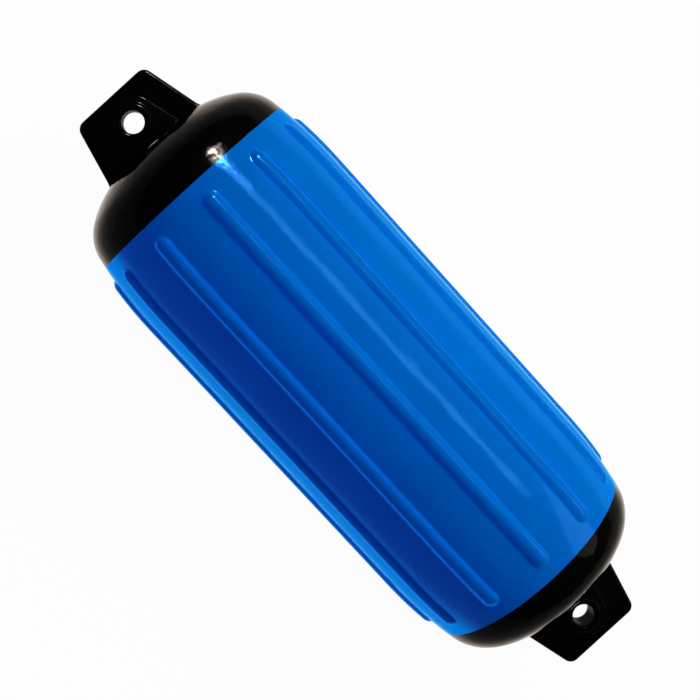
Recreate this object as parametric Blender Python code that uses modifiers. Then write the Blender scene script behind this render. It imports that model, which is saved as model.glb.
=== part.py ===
"""A boat fender: a beaded vinyl barrel with domed ends and an eye tab at each end, and its needle valve.

Metres, +Z up. Each shape is first made in the fender's own frame, where X is the long axis, Y runs across
the tabs and Z is square to them. The finished pieces are then rolled about X and lifted, so that the
fender lies on two neighbouring beads, with z = 0 the surface that it lies on.
"""

import math

import bmesh
import bpy
from mathutils import Matrix, Vector

# Shell
SHELL_RADIUS = 0.127  # barrel, without its beads
STRAIGHT_HALF = 0.182  # middle of the barrel to where it starts to draw in
SHOULDER_RADIUS = 0.472  # the slow curve that draws the barrel in
SHOULDER_TURN = 10.5  # degrees from the barrel's line at the slow curve's end
CORNER_RADIUS = 0.0485  # the tight curve between the shoulder and the domed end
CORNER_TURN = 56.4  # degrees from the barrel's line at the tight curve's end
CROWN_FLAT = 0.0346  # radius of the flat middle of a domed end, where the tab grows out
BLACK_FROM = 0.077  # the barrel's colour runs this far past its straight length

# Beads
BEAD_COUNT = 12
BEAD_WIDTH = 0.0202  # at the foot
BEAD_HEIGHT = 0.0042
BEAD_RUN_ON = 0.063  # each end of a bead lies this far past the straight barrel
BEAD_TURN = 3.0  # degrees between a bead and the direction square to the tabs

# Eye tabs
TAB_REACH = 0.0625  # crown to tip
TAB_TIP_WIDTH = 0.090
TAB_FLARE = 14.0  # degrees that each edge opens towards the dome
TAB_THICKNESS = 0.024
TAB_CORNER = 0.010
TAB_EDGE_ROUND = 0.0035
TAB_ROOT_FILLET = 0.010  # where a tab's edge runs out into the dome
TAB_ROOT_DEPTH = 0.030  # how far a tab's solid reaches into the dome
TAB_ROOT_SINK = 0.002  # how far under the dome's skin its fillet ends
EYE_RADIUS = 0.0116
EYE_TO_TIP = 0.034
EYE_MOUTH_ROUND = 0.003
BOSS_THICKNESS = 0.031
BOSS_RADIUS = 0.0255
BOSS_FLARE = 15.7  # degrees that each flank opens towards the dome
BOSS_EDGE_ROUND = 0.0025
RING_THICKNESS = 0.037
RING_RADIUS = 0.020
RING_ROUND = 0.004

# Needle valve
VALVE_TURN = 66.0  # degrees from the barrel's line at the place on the dome where it sits
VALVE_RADIUS = 0.006
VALVE_LENGTH = 0.009
VALVE_SEAT_GAP = 0.0003
VALVE_HEAD_ROUND = 0.0008
NEEDLE_DIMPLE_RADIUS = 0.0022
NEEDLE_DIMPLE_DEPTH = 0.0025
POCKET_PAST = 0.002  # how far the pocket's cutter stands out of the collar
COLLAR_WALL = 0.0045
COLLAR_HEIGHT = 0.0018
COLLAR_ROUND = 0.0008
COLLAR_ROOT = 0.004  # how far the collar's solid reaches into the dome

# Facets
SHELL_STEPS = 60
SHOULDER_STEPS = 4
CORNER_STEPS = 6
CROWN_STEPS = 4
BEAD_STEPS = 24
BEAD_END_STEPS = 4
BEAD_SHOULDER_STEPS = 4
EYE_STEPS = 24
ROUND_STEPS = 3
CORNER_ARC_STEPS = 5
VALVE_STEPS = 24

SHARP_FROM = 35  # degrees between two faces whose shared edge is shaded sharp
ROUND_FROM = 60  # degrees between two faces whose shared edge is rounded
FLAT_WITHIN = 1  # degrees between two faces that are joined into one
MERGE = 0.00005

# Colours, linear, each with its roughness
BLUE_VINYL = ((0.0, 0.127, 0.552), 0.18)
BLACK_VINYL = ((0.004, 0.004, 0.004), 0.2)
VALVE_RUBBER = ((0.05, 0.05, 0.05), 0.6)


def on_arc(centre, radius, turn):
    """The point of an arc in one direction from its centre: 0 degrees is out from the axis, 90 along it."""
    angle = math.radians(turn)
    return (centre[0] + radius * math.sin(angle), centre[1] + radius * math.cos(angle))


def arc(centre, radius, start, end, steps):
    """Points of an arc from one direction to another."""
    return [on_arc(centre, radius, start + (end - start) * i / steps) for i in range(steps + 1)]


def centre_behind(point, radius, turn):
    """The centre of the arc of this radius that leaves a point where the outline has turned this far."""
    return on_arc(point, -radius, turn)


# Places that follow from the shell's sizes
SHOULDER_CENTRE = (STRAIGHT_HALF, SHELL_RADIUS - SHOULDER_RADIUS)
SHOULDER_END = on_arc(SHOULDER_CENTRE, SHOULDER_RADIUS, SHOULDER_TURN)
CORNER_CENTRE = centre_behind(SHOULDER_END, CORNER_RADIUS, SHOULDER_TURN)
CORNER_END = on_arc(CORNER_CENTRE, CORNER_RADIUS, CORNER_TURN)
CROWN_RADIUS = (CORNER_END[1] - CROWN_FLAT) / math.cos(math.radians(CORNER_TURN))
CROWN_CENTRE = centre_behind(CORNER_END, CROWN_RADIUS, CORNER_TURN)
CROWN_X = CROWN_CENTRE[0] + CROWN_RADIUS
TIP_X = CROWN_X + TAB_REACH
EYE_X = TIP_X - EYE_TO_TIP
BLACK_X = STRAIGHT_HALF + BLACK_FROM
BEAD_END_X = STRAIGHT_HALF + BEAD_RUN_ON

# A bead's section is part of a circle, and the bead is that circle's round bar let into the shell
BEAD_BAR_RADIUS = (BEAD_WIDTH**2 / 4 + BEAD_HEIGHT**2) / (2 * BEAD_HEIGHT)
BEAD_BAR_AXIS = SHELL_RADIUS + BEAD_HEIGHT - BEAD_BAR_RADIUS
BEAD_PITCH = 360 / BEAD_COUNT

# The fender lies on the two beads either side of straight down
ROLL = BEAD_PITCH / 2 + BEAD_TURN
AXIS_HEIGHT = BEAD_BAR_AXIS * math.cos(math.radians(BEAD_PITCH / 2)) + BEAD_BAR_RADIUS


def shell_profile():
    """Half of the shell's outline, from the end of the straight barrel to the axis at the crown."""
    shoulder = arc(SHOULDER_CENTRE, SHOULDER_RADIUS, 0, SHOULDER_TURN, SHOULDER_STEPS)
    corner = arc(CORNER_CENTRE, CORNER_RADIUS, SHOULDER_TURN, CORNER_TURN, CORNER_STEPS)
    crown = arc(CROWN_CENTRE, CROWN_RADIUS, CORNER_TURN, 90, CROWN_STEPS)
    return shoulder + corner[1:] + crown[1:] + [(CROWN_X, 0)]


def radius_at(outline, x):
    """An outline's radius at a distance along the axis, read from its facets."""
    x = abs(x)
    if x <= outline[0][0]:
        return outline[0][1]
    for (x0, r0), (x1, r1) in zip(outline, outline[1:]):
        if x0 < x1 and x <= x1:
            return r0 + (r1 - r0) * (x - x0) / (x1 - x0)
    return 0.0


def with_point_at(outline, x):
    """The outline with one more point at a distance along the axis, on the facet that it crosses."""
    before = [point for point in outline if point[0] < x]
    return before + [(x, radius_at(outline, x))] + outline[len(before):]


def plastic(name, colour, roughness):
    """A moulded plastic or rubber in one colour."""
    material = bpy.data.materials.new(name)
    material.use_nodes = True
    shader = material.node_tree.nodes["Principled BSDF"]
    shader.inputs["Base Color"].default_value = (*colour, 1)
    shader.inputs["Roughness"].default_value = roughness
    shader.inputs["Metallic"].default_value = 0
    material.diffuse_color = (*colour, 1)
    return material


def new_object(name, mesh, collection):
    piece = bpy.data.objects.new(name, mesh)
    collection.objects.link(piece)
    return piece


def hide_as_cutter(piece):
    piece.hide_render = True
    piece.display_type = "WIRE"


def settled_mesh(piece):
    """The object's mesh as its modifiers leave it, with the object itself removed."""
    bpy.context.view_layer.update()
    evaluated = piece.evaluated_get(bpy.context.evaluated_depsgraph_get())
    mesh = bpy.data.meshes.new_from_object(evaluated)
    bpy.data.objects.remove(piece)
    return mesh


def turned(name, outline, axis, steps, collection):
    """An outline of (height along the axis, radius) pairs, from the low end to the high one, turned solid."""
    mesh = bpy.data.meshes.new(name)
    if axis == "X":
        points = [(along, 0, radius) for along, radius in outline]
    else:
        points = [(radius, 0, along) for along, radius in reversed(outline)]
    mesh.from_pydata(points, [(i, i + 1) for i in range(len(points) - 1)], [])
    piece = new_object(name, mesh, collection)
    screw = piece.modifiers.new("turn", "SCREW")
    screw.axis = axis
    screw.steps = steps
    screw.render_steps = steps
    screw.use_merge_vertices = True
    screw.merge_threshold = MERGE
    return piece


def plate(name, outline, thickness, edge_round, collection):
    """A flat outline of (x, y) pairs, filled, with the edges of both its faces rounded."""
    curve = bpy.data.curves.new(name, "CURVE")
    curve.dimensions = "2D"
    curve.fill_mode = "BOTH"
    curve.extrude = thickness / 2
    spline = curve.splines.new("POLY")
    spline.points.add(len(outline) - 1)
    for point, (x, y) in zip(spline.points, outline):
        point.co = (x, y, 0, 1)
    spline.use_cyclic_u = True
    mesh = settled_mesh(new_object(name, curve, collection))
    weld_and_face_out(mesh)
    piece = new_object(name, mesh, collection)
    rounding = piece.modifiers.new("edge round", "BEVEL")
    rounding.width = edge_round
    rounding.segments = ROUND_STEPS
    rounding.limit_method = "ANGLE"
    rounding.angle_limit = math.radians(ROUND_FROM)
    return piece


def weld_and_face_out(mesh):
    """Joins a mesh's loose caps to its sides, makes each flat cap one face, and turns all faces outwards."""
    shape = bmesh.new()
    shape.from_mesh(mesh)
    bmesh.ops.remove_doubles(shape, verts=shape.verts, dist=MERGE)
    bmesh.ops.dissolve_limit(
        shape,
        angle_limit=math.radians(FLAT_WITHIN),
        verts=shape.verts,
        edges=shape.edges,
        delimit={"NORMAL"},
    )
    bmesh.ops.recalc_face_normals(shape, faces=shape.faces)
    shape.to_mesh(mesh)
    shape.free()


def both_sides(half):
    """A closed outline from its half above the X axis, which runs from the tip to the root."""
    return half + [(x, -y) for x, y in reversed(half)]


def tab_outline():
    """The tab's flat outline: round tip corners, flared edges and fillets that run out into the dome."""
    flare = math.radians(TAB_FLARE)
    outward = Vector((math.sin(flare), math.cos(flare)))
    towards_dome = Vector((-math.cos(flare), math.sin(flare)))
    corner_y = TAB_TIP_WIDTH / 2 - TAB_CORNER * (1 - math.sin(flare)) / math.cos(flare)
    corner = arc((TIP_X - TAB_CORNER, corner_y), TAB_CORNER, 90, TAB_FLARE, CORNER_ARC_STEPS)

    dome_centre = Vector(CROWN_CENTRE)
    reach = CROWN_RADIUS - TAB_ROOT_SINK + TAB_ROOT_FILLET
    start = Vector((TIP_X, TAB_TIP_WIDTH / 2)) + TAB_ROOT_FILLET * outward - dome_centre
    along = start.dot(towards_dome)
    run = -along - math.sqrt(along**2 - start.length_squared + reach**2)
    fillet_centre = dome_centre + start + run * towards_dome
    inwards = dome_centre - fillet_centre
    last = math.degrees(math.atan2(inwards.x, inwards.y)) % 360
    fillet = arc(fillet_centre, TAB_ROOT_FILLET, TAB_FLARE + 180, last, CORNER_ARC_STEPS)
    root = [(CROWN_X - TAB_ROOT_DEPTH, fillet[-1][1] - TAB_ROOT_DEPTH)]
    return both_sides(corner + fillet + root)


def boss_outline():
    """The raised boss: round about the eye, with flanks that open towards the dome."""
    flare = math.radians(BOSS_FLARE)
    nose = arc((EYE_X, 0), BOSS_RADIUS, 90, BOSS_FLARE, 2 * CORNER_ARC_STEPS)
    root_x = CROWN_X - TAB_ROOT_DEPTH
    root = (root_x, nose[-1][1] + (nose[-1][0] - root_x) * math.tan(flare))
    return both_sides(nose[1:] + [root])


def ring_outline():
    """Half section of the ring round the eye, rounded on the outside of both its faces."""
    top = RING_THICKNESS / 2
    upper = arc((top - RING_ROUND, RING_RADIUS - RING_ROUND), RING_ROUND, 0, 90, ROUND_STEPS)
    lower = [(-along, radius) for along, radius in reversed(upper)]
    return [(-top, 0)] + lower + upper + [(top, 0)]


def eye_cutter_outline():
    """Half section of the eye's cutter, which widens at both mouths to leave them rounded."""
    top = RING_THICKNESS / 2
    mouth = EYE_RADIUS + EYE_MOUTH_ROUND
    centre = (top - EYE_MOUTH_ROUND, mouth)
    upper = arc(centre, EYE_MOUTH_ROUND, 180, 90, ROUND_STEPS)
    upper += [(top + EYE_MOUTH_ROUND, mouth), (top + EYE_MOUTH_ROUND, 0)]
    return [(-along, radius) for along, radius in reversed(upper)] + upper


def bead_outline():
    """Half section of a bead's round bar, from one round end to the other."""
    end_centre = BEAD_END_X - BEAD_WIDTH / 2
    end = arc((end_centre, 0), BEAD_BAR_RADIUS, 0, 90, BEAD_END_STEPS)
    run = [
        (STRAIGHT_HALF + (end_centre - STRAIGHT_HALF) * i / BEAD_SHOULDER_STEPS, BEAD_BAR_RADIUS)
        for i in range(BEAD_SHOULDER_STEPS)
    ]
    half = run + end
    return [(-along, radius) for along, radius in reversed(half)] + half


def make_bead(collection):
    """One bead on top of the barrel, drawn in with the shell at its shoulders."""
    piece = turned("bead", bead_outline(), "X", BEAD_STEPS, collection)
    mesh = settled_mesh(piece)
    shell = shell_profile()
    for vertex in mesh.vertices:
        vertex.co.z += BEAD_BAR_AXIS + radius_at(shell, vertex.co.x) - SHELL_RADIUS
    return mesh


def make_beads(collection):
    """All the beads in one object, spaced evenly round the barrel."""
    bead = make_bead(collection)
    shape = bmesh.new()
    for index in range(BEAD_COUNT):
        turn = Matrix.Rotation(-math.radians(BEAD_TURN + BEAD_PITCH * index), 4, "X")
        copy = bead.copy()
        copy.transform(turn)
        shape.from_mesh(copy)
        bpy.data.meshes.remove(copy)
    mesh = bpy.data.meshes.new("beads")
    shape.to_mesh(mesh)
    shape.free()
    bpy.data.meshes.remove(bead)
    return new_object("beads", mesh, collection)


def boolean(piece, operand, operation):
    modifier = piece.modifiers.new(operand.name, "BOOLEAN")
    modifier.object = operand
    modifier.operation = operation
    modifier.solver = "EXACT"
    hide_as_cutter(operand)


def end_turn(side):
    """Turns what is made at the +X end round to the other one."""
    return Matrix.Identity(4) if side > 0 else Matrix.Rotation(math.pi, 4, "Z")


def add_tab(body, side, collection):
    """A tab with its boss and ring, joined to one end of the body and cut through by its eye."""
    place = end_turn(side)
    eye_place = place @ Matrix.Translation((EYE_X, 0, 0))
    label = "right" if side > 0 else "left"
    tab = plate(f"tab {label}", tab_outline(), TAB_THICKNESS, TAB_EDGE_ROUND, collection)
    boss = plate(f"boss {label}", boss_outline(), BOSS_THICKNESS, BOSS_EDGE_ROUND, collection)
    ring = turned(f"ring {label}", ring_outline(), "Z", EYE_STEPS, collection)
    eye = turned(f"eye {label}", eye_cutter_outline(), "Z", EYE_STEPS, collection)
    tab.matrix_world = place
    boss.matrix_world = place
    ring.matrix_world = eye_place
    eye.matrix_world = eye_place
    boolean(body, tab, "UNION")
    boolean(body, boss, "UNION")
    boolean(body, ring, "UNION")
    boolean(body, eye, "DIFFERENCE")


def valve_place():
    """Where the valve's axis leaves the hidden side of the -X dome, pointing out of it."""
    foot = on_arc(CROWN_CENTRE, CROWN_RADIUS, VALVE_TURN)
    tilt = Matrix.Rotation(math.pi + math.radians(VALVE_TURN), 4, "Y")
    return Matrix.Translation((-foot[0], 0, -foot[1])) @ tilt


def collar_outline():
    radius = VALVE_RADIUS + VALVE_SEAT_GAP + COLLAR_WALL
    rounded = arc((COLLAR_HEIGHT - COLLAR_ROUND, radius - COLLAR_ROUND), COLLAR_ROUND, 0, 90, ROUND_STEPS)
    return [(-COLLAR_ROOT, 0), (-COLLAR_ROOT, radius)] + rounded + [(COLLAR_HEIGHT, 0)]


def pocket_outline():
    """The valve's pocket, deeper than the valve by its seat gap, and open past the collar."""
    radius = VALVE_RADIUS + VALVE_SEAT_GAP
    bottom = COLLAR_HEIGHT - VALVE_LENGTH - VALVE_SEAT_GAP
    top = COLLAR_HEIGHT + POCKET_PAST
    return [(bottom, 0), (bottom, radius), (top, radius), (top, 0)]


def valve_outline():
    """Half section of the valve: a plug with a rounded head and a dimple that guides the needle."""
    head = VALVE_RADIUS - VALVE_HEAD_ROUND
    rounded = arc((COLLAR_HEIGHT - VALVE_HEAD_ROUND, head), VALVE_HEAD_ROUND, 0, 90, ROUND_STEPS)
    dimple = [(COLLAR_HEIGHT, NEEDLE_DIMPLE_RADIUS), (COLLAR_HEIGHT - NEEDLE_DIMPLE_DEPTH, 0)]
    bottom = COLLAR_HEIGHT - VALVE_LENGTH
    return [(bottom, 0), (bottom, VALVE_RADIUS)] + rounded + dimple


def add_valve_seat(body, collection):
    collar = turned("valve collar", collar_outline(), "Z", VALVE_STEPS, collection)
    pocket = turned("valve pocket", pocket_outline(), "Z", VALVE_STEPS, collection)
    collar.matrix_world = valve_place()
    pocket.matrix_world = valve_place()
    boolean(body, collar, "UNION")
    boolean(body, pocket, "DIFFERENCE")


def make_body(collection, cutters):
    """The whole moulding, blue along the barrel and black past its shoulders."""
    half = with_point_at(shell_profile(), BLACK_X)
    outline = [(-x, radius) for x, radius in reversed(half)] + half
    body = turned("fender_body", outline, "X", SHELL_STEPS, collection)
    boolean(body, make_beads(cutters), "UNION")
    for side in (1, -1):
        add_tab(body, side, cutters)
    add_valve_seat(body, cutters)
    mesh = settled_mesh(body)
    mesh.materials.clear()
    mesh.materials.append(plastic("blue gloss vinyl", *BLUE_VINYL))
    mesh.materials.append(plastic("black gloss vinyl", *BLACK_VINYL))
    for face in mesh.polygons:
        face.material_index = 1 if abs(face.center.x) > BLACK_X else 0
    return new_object("fender_body", mesh, collection)


def make_valve(collection):
    mesh = settled_mesh(turned("valve_plug", valve_outline(), "Z", VALVE_STEPS, collection))
    mesh.materials.clear()
    mesh.materials.append(plastic("grey valve rubber", *VALVE_RUBBER))
    valve = new_object("valve_plug", mesh, collection)
    valve.matrix_world = valve_place()
    return valve


def main():
    for piece in list(bpy.data.objects):
        bpy.data.objects.remove(piece)
    fender = bpy.data.collections.new("boat_fender")
    cutters = bpy.data.collections.new("cutters")
    for collection in (fender, cutters):
        bpy.context.scene.collection.children.link(collection)

    lie = bpy.data.objects.new("fender_axis", None)
    fender.objects.link(lie)
    for piece in (make_body(fender, cutters), make_valve(fender)):
        piece.data.shade_smooth()
        piece.data.set_sharp_from_angle(angle=math.radians(SHARP_FROM))
        piece.parent = lie
    lie.location = (0, 0, AXIS_HEIGHT)
    lie.rotation_euler = (math.radians(ROLL), 0, 0)


main()
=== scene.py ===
import math
import bmesh
import bpy
from mathutils import Matrix, Vector


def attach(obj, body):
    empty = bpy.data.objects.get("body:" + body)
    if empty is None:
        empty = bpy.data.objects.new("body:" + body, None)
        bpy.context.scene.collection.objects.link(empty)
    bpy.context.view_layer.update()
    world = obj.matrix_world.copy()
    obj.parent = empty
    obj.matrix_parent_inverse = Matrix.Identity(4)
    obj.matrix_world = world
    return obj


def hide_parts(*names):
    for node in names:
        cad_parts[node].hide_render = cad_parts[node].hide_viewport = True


# metres throughout; pieces are modelled along X in the fender's own frame and laid down at the end
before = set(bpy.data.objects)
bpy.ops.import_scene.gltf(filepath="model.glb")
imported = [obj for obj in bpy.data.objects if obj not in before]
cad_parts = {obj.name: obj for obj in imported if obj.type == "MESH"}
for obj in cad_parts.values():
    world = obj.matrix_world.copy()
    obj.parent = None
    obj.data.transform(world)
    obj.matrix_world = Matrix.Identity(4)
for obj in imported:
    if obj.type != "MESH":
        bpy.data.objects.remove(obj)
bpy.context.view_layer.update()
print("frame loaded:", sorted(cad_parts))

mergeUnder = 0.00002          # shorter than any real edge here
smoothUnder = 38              # degrees between two faces that are shaded as one


def onArc(centre, radius, turn):
    # 0 degrees is out from the axis, 90 along it
    a = math.radians(turn)
    return (centre[0] + radius * math.sin(a), centre[1] + radius * math.cos(a))


def arc(centre, radius, start, end, steps):
    return [onArc(centre, radius, start + (end - start) * i / steps) for i in range(steps + 1)]


def turns(end, steps):
    # angles in radians, from nothing up to the end in degrees
    return [math.radians(end * i / steps) for i in range(steps + 1)]


def deselectAll():
    for o in bpy.context.selected_objects:
        o.select_set(False)


def makeActive(o):
    deselectAll()
    o.select_set(True)
    bpy.context.view_layer.objects.active = o


def placed(o, matrix):
    o.matrix_world = matrix
    makeActive(o)
    bpy.ops.object.transform_apply(location=True, rotation=True, scale=True)
    return o


def applyModifier(o, kind, **settings):
    makeActive(o)
    modifier = o.modifiers.new(kind.lower(), kind)
    for name, value in settings.items():
        setattr(modifier, name, value)
    bpy.ops.object.modifier_apply(modifier=modifier.name)


def joinTo(o, other, operation):
    applyModifier(o, "BOOLEAN", object=other, operation=operation, solver="EXACT")
    bpy.data.objects.remove(other)


def mergeAndFaceOut(o):
    makeActive(o)
    bpy.ops.object.mode_set(mode="EDIT")
    bpy.ops.mesh.select_all(action="SELECT")
    bpy.ops.mesh.remove_doubles(threshold=mergeUnder)
    bpy.ops.mesh.normals_make_consistent(inside=False)
    bpy.ops.object.mode_set(mode="OBJECT")


def loftLoops(name, loops, closeRound=False):
    # a circle is extruded loop by loop, and each new loop is moved to its place
    count = len(loops[0])
    deselectAll()
    bpy.ops.mesh.primitive_circle_add(vertices=count)
    o = bpy.context.active_object
    o.name = name
    bpy.ops.object.mode_set(mode="EDIT")
    bpy.ops.mesh.select_mode(type="VERT")
    mesh = bmesh.from_edit_mesh(o.data)
    for vertex, point in zip(mesh.verts, loops[0]):
        vertex.co = point
    for loop in loops[1:]:
        bpy.ops.mesh.extrude_region_move()
        mesh = bmesh.from_edit_mesh(o.data)
        mesh.verts.ensure_lookup_table()
        for vertex, point in zip(mesh.verts[-count:], loop):
            vertex.co = point
    if closeRound:
        bpy.ops.mesh.select_all(action="SELECT")
        bpy.ops.mesh.remove_doubles(threshold=mergeUnder)
    else:
        # the last loop is still selected, so it is filled first
        bpy.ops.mesh.edge_face_add()
        bpy.ops.mesh.select_all(action="DESELECT")
        mesh = bmesh.from_edit_mesh(o.data)
        mesh.verts.ensure_lookup_table()
        for vertex in mesh.verts[:count]:
            vertex.select_set(True)
        mesh.select_flush(True)
        bpy.ops.mesh.edge_face_add()
    bpy.ops.object.mode_set(mode="OBJECT")
    mergeAndFaceOut(o)
    return o


def spinProfile(name, outline, steps):
    # outline is (height, radius) pairs along Z; a vertex line is spun once round and its poles merge
    deselectAll()
    bpy.ops.mesh.primitive_circle_add(vertices=len(outline))
    o = bpy.context.active_object
    o.name = name
    bpy.ops.object.mode_set(mode="EDIT")
    mesh = bmesh.from_edit_mesh(o.data)
    for vertex, (height, radius) in zip(mesh.verts, outline):
        vertex.co = (radius, 0, height)
    mesh.verts.ensure_lookup_table()
    closing = [e for e in mesh.edges if {v.index for v in e.verts} == {0, len(outline) - 1}]
    bmesh.ops.delete(mesh, geom=closing, context="EDGES")
    bmesh.update_edit_mesh(o.data)
    bpy.ops.mesh.select_all(action="SELECT")
    bpy.ops.mesh.spin(steps=steps, angle=2 * math.pi, center=(0, 0, 0), axis=(0, 0, 1))
    bpy.ops.object.mode_set(mode="OBJECT")
    mergeAndFaceOut(o)
    return o


shell = {
    "radius": 0.127,          # barrel without its beads
    "straightHalf": 0.182,
    "shoulderRadius": 0.472,
    "shoulderTurn": 10.5,     # degrees from the barrel's line
    "cornerRadius": 0.0485,
    "cornerTurn": 56.4,
    "crownFlat": 0.0346,      # flat middle of the domed end
    "blackFrom": 0.259,       # the ends are black past this distance from the middle
    "barrelRings": (0.0, 0.07, 0.13, 0.165),
    "shoulderRings": 7,
    "colourRings": (-0.0085, -0.0045, 0.0, 0.0045),  # from where the black starts
    "cornerRings": 14,
    "crownRings": 10,
}

beads = {
    "count": 12,
    "width": 0.0202,
    "height": 0.0042,
    "endX": 0.245,
    "turn": 3.0,              # degrees from the line square to the tabs
    "footRadius": 0.003,      # the hollow where a bead runs into the barrel
    "footSpread": 0.0003,     # how far that hollow reaches past the bead's width
    # degrees from a bead's crest where the shell has vertices
    "columns": (0, 0.8, 1.6, 2.3, 2.8, 3.15, 3.5, 3.85, 4.2, 4.6, 5.2, 7.5, 11.2),
    "endRings": 12,
    "pastEnd": 0.002,         # how far those rings go past a bead's end
}

shoulderCentre = (shell["straightHalf"], shell["radius"] - shell["shoulderRadius"])
shoulderEnd = onArc(shoulderCentre, shell["shoulderRadius"], shell["shoulderTurn"])
cornerCentre = onArc(shoulderEnd, -shell["cornerRadius"], shell["shoulderTurn"])
cornerEnd = onArc(cornerCentre, shell["cornerRadius"], shell["cornerTurn"])
crownRadius = (cornerEnd[1] - shell["crownFlat"]) / math.cos(math.radians(shell["cornerTurn"]))
crownCentre = onArc(cornerEnd, -crownRadius, shell["cornerTurn"])
crownX = crownCentre[0] + crownRadius

# the solid's beads are round bars let into the barrel, and it lies on the two either side of straight down
barRadius = (beads["width"] ** 2 / 4 + beads["height"] ** 2) / (2 * beads["height"])
barDepth = barRadius - beads["height"]
beadPitch = 360 / beads["count"]
roll = math.radians(beadPitch / 2 + beads["turn"])
axisHeight = (shell["radius"] - barDepth) * math.cos(math.radians(beadPitch / 2)) + barRadius
laidDown = Matrix.Translation((0, 0, axisHeight)) @ Matrix.Rotation(roll, 4, "X")


def shellRings():
    # the profile from end to end, with more rings where the beads end and where the black starts
    half = [(x, shell["radius"]) for x in shell["barrelRings"]]
    beadCentre = beads["endX"] - beads["width"] / 2
    drawIn = beadCentre - shell["straightHalf"]
    steps = shell["shoulderRings"]
    xs = [shell["straightHalf"] + drawIn * i / steps for i in range(steps + 1)]
    fine = beads["width"] / 2 + beads["pastEnd"]
    xs += [beadCentre + fine * i / beads["endRings"] for i in range(1, beads["endRings"] + 1)]
    xs += [shell["blackFrom"] + step for step in shell["colourRings"]]
    for x in xs:
        dx = x - shoulderCentre[0]
        half.append((x, shoulderCentre[1] + math.sqrt(shell["shoulderRadius"] ** 2 - dx ** 2)))
    half += arc(cornerCentre, shell["cornerRadius"], shell["shoulderTurn"], shell["cornerTurn"],
                shell["cornerRings"])
    half += arc(crownCentre, crownRadius, shell["cornerTurn"], 90, shell["crownRings"])[1:]
    return [(-x, r) for x, r in reversed(half[1:])] + half


def columnAngles():
    steps = beads["columns"]
    onePitch = sorted({-a for a in steps} | set(steps) | {beadPitch / 2})
    return [math.radians(beads["turn"] + beadPitch * i + a) for i in range(beads["count"]) for a in onePitch]


def makeShell():
    angles = columnAngles()
    loops = [[(x, r * math.sin(a), r * math.cos(a)) for a in angles] for x, r in shellRings()]
    return loftLoops("fenderBody", loops)


def beadHeight(x, angle, shellRadius):
    # how far a bead stands over the shell here: a round crest, hollow feet and rounded ends
    half, foot = beads["width"] / 2 + beads["footSpread"], beads["footRadius"]
    past = max(0.0, abs(x) - (beads["endX"] - half))
    away = math.hypot(past, shellRadius * angle)
    steepest = 2 * math.atan(beads["height"] / half)
    crest = half / math.sin(steepest) - foot
    if away >= half:
        return 0.0
    if away > crest * math.sin(steepest):
        return foot - math.sqrt(foot ** 2 - (half - away) ** 2)
    return beads["height"] - crest + math.sqrt(crest ** 2 - away ** 2)


def raiseBeads(o):
    # each vertex's weight is its share of a bead's full height
    group = o.vertex_groups.new(name="beads")
    for vertex in o.data.vertices:
        x, y, z = vertex.co
        angle = math.degrees(math.atan2(y, z)) - beads["turn"]
        near = math.radians((angle + beadPitch / 2) % beadPitch - beadPitch / 2)
        height = beadHeight(x, near, math.hypot(y, z))
        if height > 0:
            group.add([vertex.index], height / beads["height"], "REPLACE")
    applyModifier(o, "DISPLACE", strength=beads["height"], mid_level=0, vertex_group="beads",
                  direction="NORMAL")
    o.vertex_groups.clear()


body = makeShell()
raiseBeads(body)
print("shell and beads:", len(body.data.polygons), "faces")

tab = {
    "reach": 0.0625,          # crown to tip
    "tipWidth": 0.090,
    "flare": 14.0,            # degrees that each edge opens towards the dome
    "halfThickness": 0.012,
    "corner": 0.010,
    "cornerSteps": 8,
    "edgeRound": 0.0035,
    "edgeSteps": 5,
    "rootFillet": 0.010,
    "rootSink": 0.002,        # how far under the dome's skin the fillet ends
    "rootDepth": 0.030,
    "eyeToTip": 0.034,
    "points": 168,            # vertices in each loop round the eye
}

boss = {
    "halfThickness": 0.0155,
    "radius": 0.0255,
    "noseSteps": 16,
    "flare": 15.7,
    "edgeRound": 0.0025,
    "edgeSteps": 4,
    "footRound": 0.001,
    "footSteps": 3,
    "rootDepth": 0.018,
}

eyeRing = {
    "halfThickness": 0.0185,
    "radius": 0.020,
    "round": 0.004,
    "roundSteps": 5,
    "footRound": 0.0012,
    "footSteps": 3,
    "eye": 0.0116,            # the eye's own radius
    "mouthRound": 0.003,
    "mouthSteps": 5,
}

tipX = crownX + tab["reach"]
eyeX = tipX - tab["eyeToTip"]
parallelUnder = 1e-12         # a ray and an edge whose cross product is less don't meet
endSlack = 1e-9               # lets a ray that goes through an outline's point find one of its two edges


def bothSides(half):
    return half + [(x, -y) for x, y in reversed(half)]


def tabOutline(inset):
    # round tip corners, flared edges, and fillets that run out into the dome
    flare = math.radians(tab["flare"])
    outward = Vector((math.sin(flare), math.cos(flare)))
    inward = Vector((-math.cos(flare), math.sin(flare)))
    cornerY = tab["tipWidth"] / 2 - tab["corner"] * (1 - math.sin(flare)) / math.cos(flare)
    tipCorner = (tipX - tab["corner"], cornerY)
    corner = arc(tipCorner, tab["corner"] - inset, 90, tab["flare"], tab["cornerSteps"])
    dome = Vector(crownCentre)
    reach = crownRadius - tab["rootSink"] + tab["rootFillet"]
    start = Vector((tipX, tab["tipWidth"] / 2)) + tab["rootFillet"] * outward - dome
    along = start.dot(inward)
    run = -along - math.sqrt(along ** 2 - start.length_squared + reach ** 2)
    centre = dome + start + run * inward
    back = dome - centre
    last = math.degrees(math.atan2(back.x, back.y)) % 360
    fillet = arc(centre, tab["rootFillet"] + inset, tab["flare"] + 180, last, tab["cornerSteps"])
    root = [(crownX - tab["rootDepth"], fillet[-1][1] - tab["rootDepth"])]
    return bothSides(corner + fillet + root)


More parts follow.
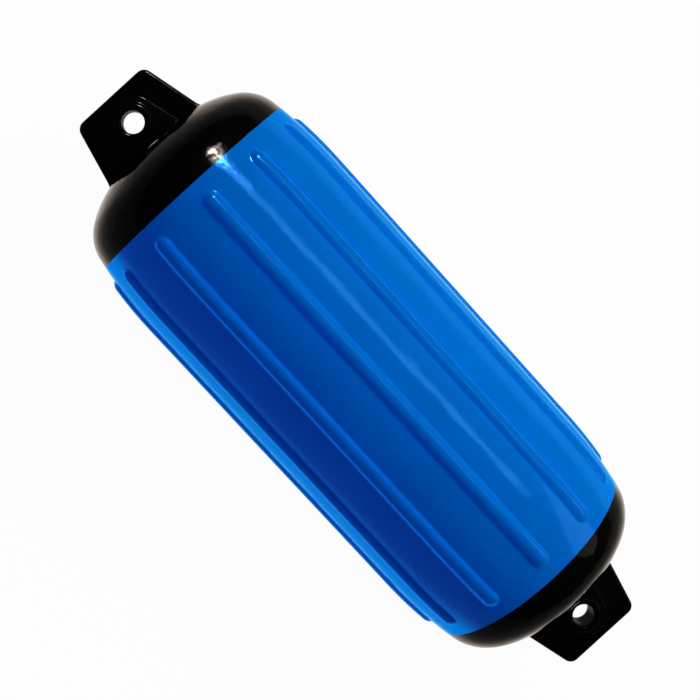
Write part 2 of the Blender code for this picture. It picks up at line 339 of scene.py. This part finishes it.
def bossOutline(inset):
    flare = math.radians(boss["flare"])
    nose = arc((eyeX, 0), boss["radius"] - inset, 90, boss["flare"], boss["noseSteps"])
    rootX = crownX - boss["rootDepth"]
    root = (rootX, nose[-1][1] + (nose[-1][0] - rootX) * math.tan(flare))
    return bothSides(nose[1:] + [root])


def loopAngles():
    return [2 * math.pi * (i + 0.5) / tab["points"] for i in range(tab["points"])]


def circleLoop(radius, height):
    return [(eyeX + radius * math.cos(a), radius * math.sin(a), height) for a in loopAngles()]


def roundEye(outline, height):
    # the outline's points on rays from the eye's middle, all at one height
    points = []
    for a in loopAngles():
        ray = Vector((math.cos(a), math.sin(a)))
        farthest = 0.0
        for j in range(len(outline)):
            p = Vector(outline[j - 1]) - Vector((eyeX, 0))
            edge = Vector(outline[j]) - Vector(outline[j - 1])
            cross = ray.x * edge.y - ray.y * edge.x
            if abs(cross) < parallelUnder:
                continue
            away = (p.x * edge.y - p.y * edge.x) / cross
            onEdge = (p.x * ray.y - p.y * ray.x) / cross
            if -endSlack <= onEdge <= 1 + endSlack and away > farthest:
                farthest = away
        points.append((eyeX + farthest * ray.x, farthest * ray.y, height))
    return points


def mouthLoops():
    # the eye's wall, up to its rounded mouth
    top, mouth = eyeRing["halfThickness"], eyeRing["mouthRound"]
    loops = [circleLoop(eyeRing["eye"], 0), circleLoop(eyeRing["eye"], (top - mouth) / 2)]
    for a in turns(90, eyeRing["mouthSteps"]):
        radius = eyeRing["eye"] + mouth * (1 - math.cos(a))
        loops.append(circleLoop(radius, top - mouth + mouth * math.sin(a)))
    return loops


def ringLoops():
    # the ring's outer round, and the small hollow where it meets the boss
    top, rim, foot = eyeRing["halfThickness"], eyeRing["round"], eyeRing["footRound"]
    rise = boss["halfThickness"] + foot - (top - rim)
    lastTurn = math.degrees(math.acos(rise / (rim + foot)))
    footX = eyeRing["radius"] - rim + math.sqrt((rim + foot) ** 2 - rise ** 2)
    loops = []
    for a in turns(lastTurn, eyeRing["roundSteps"]):
        radius = eyeRing["radius"] - rim + rim * math.sin(a)
        loops.append(circleLoop(radius, top - rim + rim * math.cos(a)))
    for a in reversed(turns(lastTurn, eyeRing["footSteps"])[:-1]):
        height = boss["halfThickness"] + foot - foot * math.cos(a)
        loops.append(circleLoop(footX - foot * math.sin(a), height))
    return loops


def edgeLoops(outline, top, edge, steps):
    # the rounded edge of a plate with this outline
    return [roundEye(outline(edge * (1 - math.sin(a))), top - edge * (1 - math.cos(a)))
            for a in turns(90, steps)]


def bossFootLoops():
    foot = boss["footRound"]
    return [roundEye(bossOutline(-foot * (1 - math.cos(a))), tab["halfThickness"] + foot * (1 - math.sin(a)))
            for a in turns(90, boss["footSteps"])[1:]]


def makeTab(side):
    # loops run from the eye's wall out over the ring, the boss and the tab's edge, and back below
    upper = mouthLoops() + ringLoops()
    upper += edgeLoops(bossOutline, boss["halfThickness"], boss["edgeRound"], boss["edgeSteps"])
    upper += bossFootLoops()
    upper += edgeLoops(tabOutline, tab["halfThickness"], tab["edgeRound"], tab["edgeSteps"])
    upper.append(roundEye(tabOutline(0), 0))
    lower = [[(x, y, -z) for x, y, z in loop] for loop in reversed(upper)]
    o = loftLoops("eyeTab", upper + lower[1:], closeRound=True)
    if side < 0:
        placed(o, Matrix.Rotation(math.pi, 4, "Z"))
    return o


for side in (1, -1):
    joinTo(body, makeTab(side), "UNION")
print("eye tabs joined:", len(body.data.polygons), "faces")

valve = {
    "turn": 66.0,             # degrees from the barrel's line, on the hidden side of the left dome
    "radius": 0.006,
    "length": 0.009,
    "gap": 0.0003,
    "headRound": 0.0008,
    "dimpleRadius": 0.0022,
    "dimpleDepth": 0.0025,
    "dimpleWaist": (0.0015, 0.0011),  # depth and radius where the dimple's wall turns in to its point
    "collarWall": 0.0045,
    "collarHeight": 0.0018,
    "collarRound": 0.0008,
    "collarRoot": 0.004,
    "cutPast": 0.002,         # how far the pocket's cutter stands out of the collar
    "roundSteps": 5,
    "steps": 64,
}

valveFoot = onArc(crownCentre, crownRadius, valve["turn"])
valvePlace = (Matrix.Translation((-valveFoot[0], 0, -valveFoot[1]))
              @ Matrix.Rotation(math.pi + math.radians(valve["turn"]), 4, "Y"))


def roundedHead(radius, rounding):
    # the rounded edge of a head whose top is level with the collar's
    centre = (valve["collarHeight"] - rounding, radius - rounding)
    return arc(centre, rounding, 0, 90, valve["roundSteps"])


def makeCollar():
    radius = valve["radius"] + valve["gap"] + valve["collarWall"]
    outline = [(-valve["collarRoot"], 0), (-valve["collarRoot"], radius)]
    outline += roundedHead(radius, valve["collarRound"]) + [(valve["collarHeight"], 0)]
    return placed(spinProfile("valveCollar", outline, valve["steps"]), valvePlace)


def makePocket():
    radius = valve["radius"] + valve["gap"]
    bottom = valve["collarHeight"] - valve["length"] - valve["gap"]
    top = valve["collarHeight"] + valve["cutPast"]
    outline = [(bottom, 0), (bottom, radius), (top, radius), (top, 0)]
    return placed(spinProfile("valvePocket", outline, valve["steps"]), valvePlace)


def makePlug():
    top, bottom = valve["collarHeight"], valve["collarHeight"] - valve["length"]
    waistDepth, waistRadius = valve["dimpleWaist"]
    stem = [(bottom, 0), (bottom, valve["radius"])]
    dimple = [(top, valve["dimpleRadius"]), (top - waistDepth, waistRadius), (top - valve["dimpleDepth"], 0)]
    outline = stem + roundedHead(valve["radius"], valve["headRound"]) + dimple
    return placed(spinProfile("needleValve", outline, valve["steps"]), valvePlace)


joinTo(body, makeCollar(), "UNION")
joinTo(body, makePocket(), "DIFFERENCE")
plug = makePlug()
print("valve made")


def hexColour(text):
    parts = [int(text[i:i + 2], 16) / 255 for i in (1, 3, 5)]
    return (*[c / 12.92 if c <= 0.04045 else ((c + 0.055) / 1.055) ** 2.4 for c in parts], 1)


def addNode(tree, kind, settings=None, links=None):
    # a setting is a socket's name, a socket's number or a property, and so is a link's end
    node = tree.nodes.new(kind)
    for name, value in (settings or {}).items():
        if isinstance(name, int) or name in node.inputs:
            node.inputs[name].default_value = value
        else:
            setattr(node, name, value)
    for name, source in (links or {}).items():
        tree.links.new(source, node.inputs[name])
    return node


def newFinish(name):
    material = bpy.data.materials.new(name)
    material.use_nodes = True
    material.node_tree.nodes.clear()
    return material, material.node_tree


glossVinyl = {
    "blueDeep": "#005BAE",
    "blueClear": "#0063BB",
    "blueGloss": "#BCF6FF",   # the gloss seen straight on
    "black": "#030302",
    "blackWorn": "#060505",
    "blackGloss": "#F0E4DC",
    "roughness": 0.08,
    "rubbedRoughness": 0.5,   # a line has rubbed the eyes dull
    "ior": 1.07,              # vinyl's own is 1.5, but with it the white floor would grey the whole barrel
    "cloudMm": 70,            # slow colour change over the blown wall
    "waveMm": 32,             # waviness of a blown skin
    "blueWaveMm": 0.85,       # how deep the waviness is along the barrel
    "blackWaveMm": 1.0,       # and on the ends, which are drawn in more
    "rubbedWaveMm": 0.1,
    "grainMm": 3.0,           # fine orange peel from the mould
    "grainDepthMm": 0.012,
}

# turned away from the eye, the gloss grows and the base colour is mixed to the edge colour, on the blue a
# lighter blue painted as sheen;
# from and to are one less the turn's cosine, and pearl is the metallic share before and after
blueEdge = {"from": 0.36, "to": 0.62, "pearl": (0.02, 0.9), "gloss": "#70D4FF", "colour": "#007ADA"}
blackEdge = {"from": 0.56, "to": 0.82, "pearl": (0.0, 0.8), "gloss": "#EEE4DC", "colour": "#030302"}


def makeVinyl(name, colours, gloss, roughness, waveMm, edge):
    # blown PVC from a polished mould: deep colour under a clear, slightly wavy gloss, with a painted sheen
    # that lightens the blue's base colour towards its outline
    material, tree = newFinish(name)
    place = addNode(tree, "ShaderNodeTexCoord").outputs["Object"]
    cloud = addNode(tree, "ShaderNodeTexNoise", {"Scale": 1000 / glossVinyl["cloudMm"], "Detail": 3.0},
                    {"Vector": place})
    colour = addNode(tree, "ShaderNodeMix",
                     {"data_type": "RGBA", 6: hexColour(colours[0]), 7: hexColour(colours[1])},
                     {"Factor": cloud.outputs["Fac"]})
    wave = addNode(tree, "ShaderNodeTexNoise", {"Scale": 1000 / glossVinyl["waveMm"], "Detail": 3.0},
                   {"Vector": place})
    waveBump = addNode(tree, "ShaderNodeBump", {"Strength": 1.0, "Distance": waveMm / 1000},
                       {"Height": wave.outputs["Fac"]})
    grain = addNode(tree, "ShaderNodeTexNoise", {"Scale": 1000 / glossVinyl["grainMm"], "Detail": 2.0},
                    {"Vector": place})
    grainDepth = glossVinyl["grainDepthMm"] / 1000
    grainBump = addNode(tree, "ShaderNodeBump", {"Strength": 1.0, "Distance": grainDepth},
                        {"Height": grain.outputs["Fac"], "Normal": waveBump.outputs["Normal"]})
    turned = addNode(tree, "ShaderNodeLayerWeight", {"Blend": 0.5})
    share = addNode(tree, "ShaderNodeMapRange",
                    {"interpolation_type": "SMOOTHSTEP", "From Min": edge["from"], "From Max": edge["to"]},
                    {"Value": turned.outputs["Facing"]}).outputs["Result"]
    pearl = addNode(tree, "ShaderNodeMapRange", {"To Min": edge["pearl"][0], "To Max": edge["pearl"][1]},
                    {"Value": share})
    tint = addNode(tree, "ShaderNodeMix",
                   {"data_type": "RGBA", 6: hexColour(gloss), 7: hexColour(edge["gloss"])},
                   {"Factor": share})
    # the base colour is mixed to the edge colour as the surface turns away: a painted sheen on the blue,
    # which also colours the gloss there
    paintedEdgeSheen = addNode(tree, "ShaderNodeMix", {"data_type": "RGBA", 7: hexColour(edge["colour"])},
                     {"Factor": share, 6: colour.outputs[2]})
    shader = addNode(tree, "ShaderNodeBsdfPrincipled", {"Roughness": roughness, "IOR": glossVinyl["ior"]},
                     {"Base Color": paintedEdgeSheen.outputs[2], "Metallic": pearl.outputs["Result"],
                      "Specular Tint": tint.outputs[2], "Normal": grainBump.outputs["Normal"]})
    addNode(tree, "ShaderNodeOutputMaterial", {}, {"Surface": shader.outputs["BSDF"]})
    return material


valveRubber = {
    "dark": "#1B1B1C",
    "light": "#262627",
    "roughness": 0.62,
    "ior": 1.52,
    "speckMm": 0.6,
    "speckDepthMm": 0.02,
}


def makeRubber(name):
    # dull moulded rubber with a fine dusty speck
    material, tree = newFinish(name)
    place = addNode(tree, "ShaderNodeTexCoord")
    speck = addNode(tree, "ShaderNodeTexNoise", {"Scale": 1000 / valveRubber["speckMm"], "Detail": 2.0},
                    {"Vector": place.outputs["Object"]})
    colour = addNode(tree, "ShaderNodeMix",
                     {"data_type": "RGBA",
                      6: hexColour(valveRubber["dark"]), 7: hexColour(valveRubber["light"])},
                     {"Factor": speck.outputs["Fac"]})
    speckDepth = valveRubber["speckDepthMm"] / 1000
    bump = addNode(tree, "ShaderNodeBump", {"Strength": 1.0, "Distance": speckDepth},
                   {"Height": speck.outputs["Fac"]})
    shader = addNode(tree, "ShaderNodeBsdfPrincipled",
                     {"Roughness": valveRubber["roughness"], "IOR": valveRubber["ior"]},
                     {"Base Color": colour.outputs[2], "Normal": bump.outputs["Normal"]})
    addNode(tree, "ShaderNodeOutputMaterial", {}, {"Surface": shader.outputs["BSDF"]})
    return material


def finishPiece(o, materials, chooser):
    mergeAndFaceOut(o)
    o.data.materials.clear()
    for material in materials:
        o.data.materials.append(material)
    for face in o.data.polygons:
        face.material_index = chooser(face.center)
    makeActive(o)
    bpy.ops.object.shade_smooth_by_angle(angle=math.radians(smoothUnder))


# a line rubs the eyes, and the boss outside a band round the ring
rubbed = {
    "inEye": 0.0004,          # past the eye's own radius
    "pastRing": 0.003,
    "overTab": 0.0001,
}


def bodyFinish(centre):
    # 0 is the blue, 1 the black and 2 the rubbed black
    fromEye = math.hypot(abs(centre.x) - eyeX, centre.y)
    inEye = fromEye < eyeRing["eye"] + rubbed["inEye"]
    overTab = abs(centre.x) > crownX and abs(centre.z) > tab["halfThickness"] + rubbed["overTab"]
    if inEye or (overTab and fromEye > eyeRing["radius"] + rubbed["pastRing"]):
        return 2
    return 1 if abs(centre.x) > shell["blackFrom"] else 0


blues = (glossVinyl["blueDeep"], glossVinyl["blueClear"])
blacks = (glossVinyl["black"], glossVinyl["blackWorn"])
blueVinyl = makeVinyl("blueGlossVinyl", blues, glossVinyl["blueGloss"],
                      glossVinyl["roughness"], glossVinyl["blueWaveMm"], blueEdge)
blackVinyl = makeVinyl("blackGlossVinyl", blacks, glossVinyl["blackGloss"],
                       glossVinyl["roughness"], glossVinyl["blackWaveMm"], blackEdge)
rubbedVinyl = makeVinyl("blackRubbedVinyl", blacks, glossVinyl["blackWorn"],
                        glossVinyl["rubbedRoughness"], glossVinyl["rubbedWaveMm"], blackEdge)
finishPiece(body, [blueVinyl, blackVinyl, rubbedVinyl], bodyFinish)
finishPiece(plug, [makeRubber("valveRubber")], lambda centre: 0)
placed(body, laidDown)
placed(plug, laidDown @ plug.matrix_world)
print("finishes on, body has", sum(len(p.vertices) - 2 for p in body.data.polygons), "triangles")

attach(body, "root")
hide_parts("fender_body")
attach(plug, "root")
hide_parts("valve_plug")

studio = {
    "floorSize": 80.0,
    "floorDrop": 0.0002,      # keeps the floor clear of the beads that stand on it
    "floor": "#B8B8B8",
    "whiteShare": 0.97,       # how much of the floor is plain white to the eye; the rest takes the shadow
    "horizon": "#FAFAFA",
    "ceiling": "#181818",
    "paleUpTo": 0.03,         # sines of the heights between which the room darkens
    "darkFrom": 0.14,
}

# softboxes that light the fender and the floor
lamps = {
    "broadKey": {"place": (0.2, 1.52, 2.05), "faces": (0, 0, 0.12), "size": (1.4, 1.4), "watts": 75,
                 "colour": "#FFFFFF"},
    "coolFill": {"place": (-0.3, -1.9, 0.9), "faces": (0, 0, 0.12), "size": (1.6, 1.0), "watts": 18,
                 "colour": "#6098FF"},
}

# softboxes that show in the gloss alone: the barrel's long reflection, and the highlights at both ends
reflections = {
    "tube": {"place": (-0.05, 0.64, 2.0), "faces": (-0.05, 0, 0.12), "size": (1.5, 0.22), "watts": 20},
    "tubeLeft": {"place": (-0.68, 0.66, 2.0), "faces": (-0.3, 0, 0.12), "size": (0.34, 0.2), "watts": 4.5},
    "leftOuter": {"place": (-1.14, 0.76, 2.02), "faces": (-0.3, 0, 0.2), "size": (0.64, 0.6), "watts": 62},
    "leftBox": {"place": (-1.14, 0.75, 2.0), "faces": (-0.3, 0, 0.2), "size": (0.48, 0.48), "watts": 130},
    "leftCore": {"place": (-1.13, 0.73, 1.98), "faces": (-0.3, 0, 0.2), "size": (0.32, 0.32), "watts": 320},
    "endBox": {"place": (1.4, 1.2, 1.7), "faces": (0.24, 0, 0.15), "size": (1.0, 0.9), "watts": 26},
}

camera = {
    "place": (-0.21046, -0.44222, 1.54280),
    "turn": (7.10813, -17.56399, 45.40279),  # degrees
    "lens": 73.96,
    "sensor": 36,
    "farthest": 20,
}


def makeFloor():
    # pale paper: plain white to the eye and to the gloss, and it takes a little of the shadow
    deselectAll()
    bpy.ops.mesh.primitive_plane_add(size=studio["floorSize"], location=(0, 0, -studio["floorDrop"]))
    floor = bpy.context.active_object
    floor.name = "floor"
    material, tree = newFinish("paleFloor")
    paper = addNode(tree, "ShaderNodeBsdfDiffuse", {"Color": hexColour(studio["floor"])})
    white = addNode(tree, "ShaderNodeEmission", {"Color": (1, 1, 1, 1), "Strength": 1.0})
    ray = addNode(tree, "ShaderNodeLightPath")
    seen = addNode(tree, "ShaderNodeMath", {"operation": "ADD"},
                   {0: ray.outputs["Is Camera Ray"], 1: ray.outputs["Is Glossy Ray"]})
    seenToo = addNode(tree, "ShaderNodeMath", {"operation": "ADD", "use_clamp": True},
                      {0: seen.outputs[0], 1: ray.outputs["Is Transmission Ray"]})
    share = addNode(tree, "ShaderNodeMath", {"operation": "MULTIPLY", 1: studio["whiteShare"]},
                    {0: seenToo.outputs[0]})
    mixed = addNode(tree, "ShaderNodeMixShader", {},
                    {0: share.outputs[0], 1: paper.outputs[0], 2: white.outputs[0]})
    addNode(tree, "ShaderNodeOutputMaterial", {}, {"Surface": mixed.outputs[0]})
    floor.data.materials.append(material)


def makeWorld():
    # a pale room that darkens overhead
    world = bpy.data.worlds.new("studio")
    bpy.context.scene.world = world
    world.use_nodes = True
    tree = world.node_tree
    tree.nodes.clear()
    way = addNode(tree, "ShaderNodeTexCoord")
    split = addNode(tree, "ShaderNodeSeparateXYZ", {}, {"Vector": way.outputs["Generated"]})
    height = addNode(tree, "ShaderNodeMapRange",
                     {"interpolation_type": "SMOOTHSTEP",
                      "From Min": studio["paleUpTo"], "From Max": studio["darkFrom"]},
                     {"Value": split.outputs["Z"]})
    shade = addNode(tree, "ShaderNodeMix",
                    {"data_type": "RGBA", 6: hexColour(studio["horizon"]), 7: hexColour(studio["ceiling"])},
                    {"Factor": height.outputs["Result"]})
    sky = addNode(tree, "ShaderNodeBackground", {"Strength": 1.0}, {"Color": shade.outputs[2]})
    addNode(tree, "ShaderNodeOutputWorld", {}, {"Surface": sky.outputs[0]})


def addSoftbox(name, settings, inGlossAlone):
    lamp = bpy.data.lights.new(name, "AREA")
    lamp.color = hexColour(settings.get("colour", "#FFFFFF"))[:3]
    lamp.shape = "RECTANGLE"
    lamp.size, lamp.size_y = settings["size"]
    lamp.energy = settings["watts"]
    o = bpy.data.objects.new(name, lamp)
    bpy.context.scene.collection.objects.link(o)
    o.location = settings["place"]
    facing = Vector(settings["faces"]) - Vector(settings["place"])
    o.rotation_euler = facing.to_track_quat("-Z", "Y").to_euler()
    o.visible_glossy = inGlossAlone
    o.visible_diffuse = not inGlossAlone


def makeCamera():
    data = bpy.data.cameras.new("photoView")
    data.lens = camera["lens"]
    data.sensor_width = camera["sensor"]
    data.clip_end = camera["farthest"]
    o = bpy.data.objects.new("photoView", data)
    bpy.context.scene.collection.objects.link(o)
    o.location = camera["place"]
    o.rotation_euler = [math.radians(a) for a in camera["turn"]]
    bpy.context.scene.camera = o


makeFloor()
makeWorld()
for name, settings in lamps.items():
    addSoftbox(name, settings, inGlossAlone=False)
for name, settings in reflections.items():
    addSoftbox(name, settings, inGlossAlone=True)
makeCamera()
bpy.context.scene.view_settings.view_transform = "Standard"
print("floor, light and camera set")
